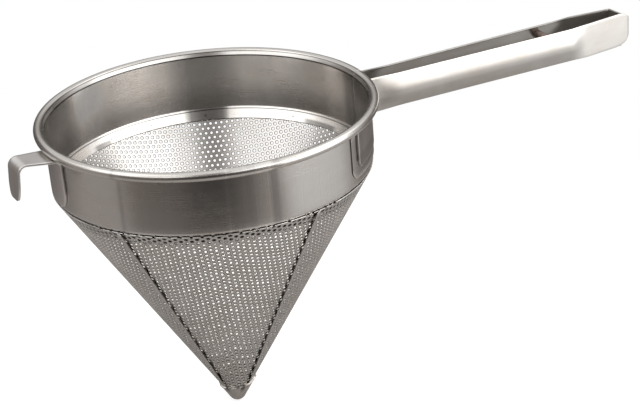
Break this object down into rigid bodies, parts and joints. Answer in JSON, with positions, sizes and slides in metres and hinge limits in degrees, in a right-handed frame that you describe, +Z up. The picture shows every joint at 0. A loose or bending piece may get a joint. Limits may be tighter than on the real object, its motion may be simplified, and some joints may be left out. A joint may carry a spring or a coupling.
{
  "type": "chinois strainer",
  "caption": "Conical perforated steel strainer with a cylindrical collar, curled rim, capped tip, hairpin strip handle and a hook to rest it on a pot",
  "frame": {"origin": "on the collar's axis, where its straight wall meets the neck of the curled rim", "axes": "+Z up along the collar's axis and out of its mouth, +X along the handle, the hook on the -X side, the cone's point down"},
  "size_m": [0.4225, 0.203, 0.1996],
  "materials": {
    "collar_steel": "brushed around the axis",
    "sheet_steel": "mill finish perforated sheet",
    "cap_steel": "satin",
    "strip_steel": "brushed along the strip",
    "pin_steel": "cut bar, slightly tinted"
  },
  "bodies": {
    "root": {"collar": "collar_steel", "cone_sheet_front": "sheet_steel", "cone_sheet_back": "sheet_steel", "tip_cap": "cap_steel", "handle_saddle": "collar_steel", "handle_front": "strip_steel", "handle_back": "strip_steel", "handle_end_web": "strip_steel", "handle_pin": "pin_steel", "hook": "strip_steel"}
  },
  "joints": []
}
